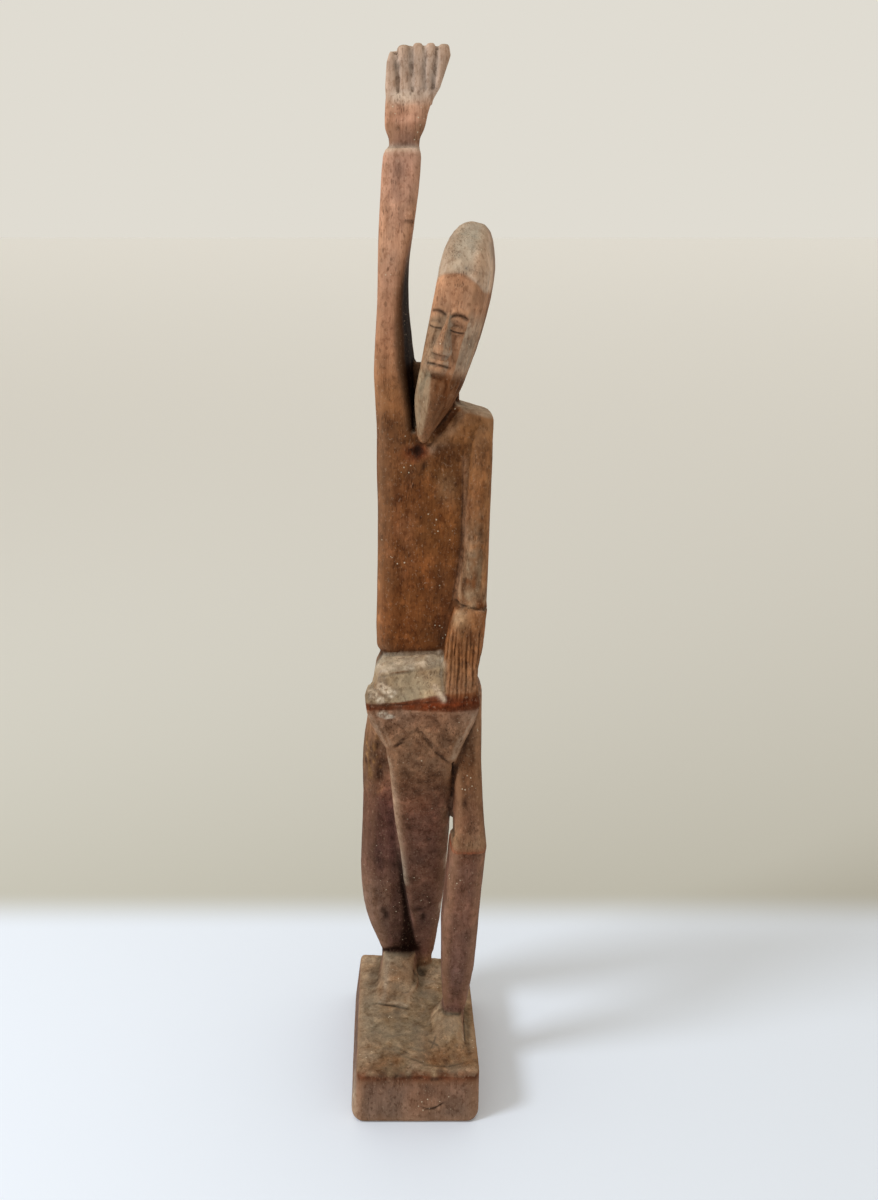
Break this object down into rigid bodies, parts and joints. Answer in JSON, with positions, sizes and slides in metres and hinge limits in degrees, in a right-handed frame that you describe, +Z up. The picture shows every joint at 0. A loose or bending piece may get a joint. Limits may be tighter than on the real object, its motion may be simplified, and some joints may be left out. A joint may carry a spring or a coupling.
{
  "type": "carved wooden figure",
  "caption": "Standing bearded man with one arm raised, carved with his rectangular base from one block of wood, resting on its flat underside.",
  "frame": {"origin": "middle of the base's flat underside", "axes": "+Z up along the figure, -Y the way the figure faces, +X the side of its lowered arm"},
  "size_m": [0.0636, 0.0985, 0.473],
  "materials": {
    "aged_wood": "hand-carved brown wood, worn satin on its edges, dusty on top"
  },
  "bodies": {
    "root": {"carved_figure": "aged_wood"}
  },
  "joints": []
}
